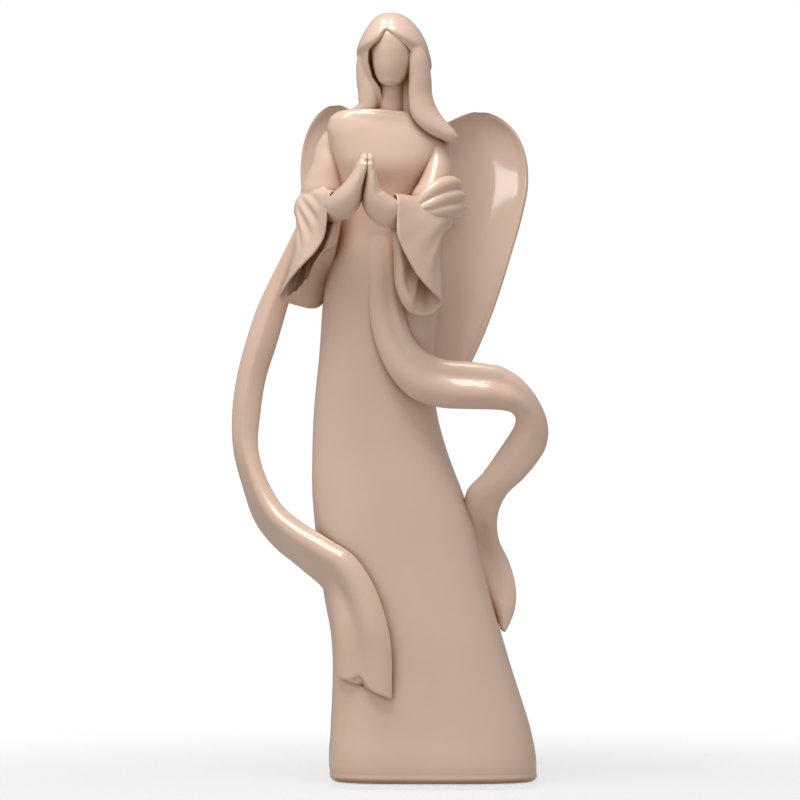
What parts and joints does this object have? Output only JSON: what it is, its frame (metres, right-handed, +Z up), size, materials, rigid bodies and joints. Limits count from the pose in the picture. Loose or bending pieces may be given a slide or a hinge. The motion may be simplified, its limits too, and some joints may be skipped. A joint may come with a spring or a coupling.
{
  "type": "angel figurine",
  "caption": "Standing faceless angel figurine in a long gown, hands pressed together in prayer, with cupped wings and sashes that sweep clear of the gown.",
  "frame": {"origin": "on the table under the middle of the gown's hem, at the centre of the felt pad's underside", "axes": "+Z up along the figure; the figure faces -Y; its left side is at +X"},
  "size_m": [0.1258, 0.0755, 0.2996],
  "materials": {
    "ivory_resin": "cast polyresin, warm ivory, high-gloss clear lacquer",
    "felt": "pressed felt",
    "dowel_steel": "plain drawn steel"
  },
  "bodies": {
    "root": {"gown": "ivory_resin", "base_plate": "ivory_resin", "head": "ivory_resin", "hair": "ivory_resin", "right_sleeve": "ivory_resin", "left_sleeve": "ivory_resin", "right_hand": "ivory_resin", "left_hand": "ivory_resin", "right_wing": "ivory_resin", "left_wing": "ivory_resin", "right_sash": "ivory_resin", "left_sash": "ivory_resin", "left_elbow_fold": "ivory_resin", "felt_pad": "felt", "neck_dowel": "dowel_steel", "right_sleeve_dowel": "dowel_steel", "left_sleeve_dowel": "dowel_steel", "right_sash_upper_dowel": "dowel_steel", "right_sash_lower_dowel": "dowel_steel", "left_sash_upper_dowel": "dowel_steel", "left_sash_lower_dowel": "dowel_steel", "right_wing_upper_dowel": "dowel_steel", "right_wing_lower_dowel": "dowel_steel", "left_wing_upper_dowel": "dowel_steel", "left_wing_lower_dowel": "dowel_steel"}
  },
  "joints": []
}
